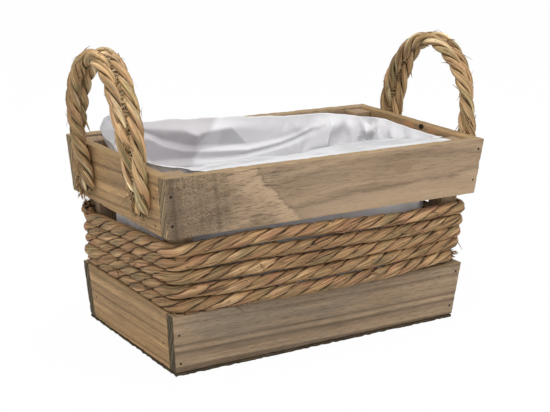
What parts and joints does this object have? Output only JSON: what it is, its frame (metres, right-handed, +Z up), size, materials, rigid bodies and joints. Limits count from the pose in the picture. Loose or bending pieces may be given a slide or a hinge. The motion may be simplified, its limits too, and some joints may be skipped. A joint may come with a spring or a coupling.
{
  "type": "slatted wooden planter basket",
  "caption": "Rectangular flared basket of weathered boards nailed to corner posts, wound with rope in its open band, with doubled rope handles at the ends and a plastic film liner.",
  "frame": {"origin": "centre of the underside of the base board", "axes": "+X along the long side to the right end, +Y to the back, +Z up; the front is -Y"},
  "size_m": [0.3652, 0.181, 0.2558],
  "materials": {
    "side_wood": "weathered grey-brown, matt",
    "end_wood": "weathered tan, matt",
    "post_wood": "raw sawn, matt",
    "base_wood": "raw thin board, matt",
    "rope": "twisted dried plant fibre, matt",
    "handle_rope": "twisted dried plant fibre, matt",
    "liner_film": "crumpled translucent film, semi-gloss",
    "nail_steel": "dulled steel"
  },
  "bodies": {
    "root": {"base_board": "base_wood", "collar_front_board": "side_wood", "collar_back_board": "side_wood", "collar_left_board": "end_wood", "collar_right_board": "end_wood", "lower_front_board": "side_wood", "lower_back_board": "side_wood", "lower_left_board": "end_wood", "lower_right_board": "end_wood", "front_left_post": "post_wood", "front_right_post": "post_wood", "back_left_post": "post_wood", "back_right_post": "post_wood", "liner": "liner_film", "rope_winding": "rope", "left_handle": "handle_rope", "right_handle": "handle_rope", "collar_front_left_nail_1": "nail_steel", "collar_front_left_nail_2": "nail_steel", "collar_front_right_nail_1": "nail_steel", "collar_front_right_nail_2": "nail_steel", "collar_back_left_nail_1": "nail_steel", "collar_back_left_nail_2": "nail_steel", "collar_back_right_nail_1": "nail_steel", "collar_back_right_nail_2": "nail_steel", "lower_front_left_nail_1": "nail_steel", "lower_front_left_nail_2": "nail_steel", "lower_front_right_nail_1": "nail_steel", "lower_front_right_nail_2": "nail_steel", "lower_back_left_nail_1": "nail_steel", "lower_back_left_nail_2": "nail_steel", "lower_back_right_nail_1": "nail_steel", "lower_back_right_nail_2": "nail_steel", "collar_left_front_nail_1": "nail_steel", "collar_left_front_nail_2": "nail_steel", "collar_left_back_nail_1": "nail_steel", "collar_left_back_nail_2": "nail_steel", "collar_right_front_nail_1": "nail_steel", "collar_right_front_nail_2": "nail_steel", "collar_right_back_nail_1": "nail_steel", "collar_right_back_nail_2": "nail_steel", "lower_left_front_nail_1": "nail_steel", "lower_left_back_nail_1": "nail_steel", "lower_right_front_nail_1": "nail_steel", "lower_right_back_nail_1": "nail_steel", "left_handle_front_nail_1": "nail_steel", "left_handle_front_nail_2": "nail_steel", "left_handle_back_nail_1": "nail_steel", "left_handle_back_nail_2": "nail_steel", "right_handle_front_nail_1": "nail_steel", "right_handle_front_nail_2": "nail_steel", "right_handle_back_nail_1": "nail_steel", "right_handle_back_nail_2": "nail_steel", "base_front_left_post_nail": "nail_steel", "base_front_right_post_nail": "nail_steel", "base_back_left_post_nail": "nail_steel", "base_back_right_post_nail": "nail_steel", "rope_start_nail": "nail_steel", "rope_end_nail": "nail_steel"}
  },
  "joints": []
}
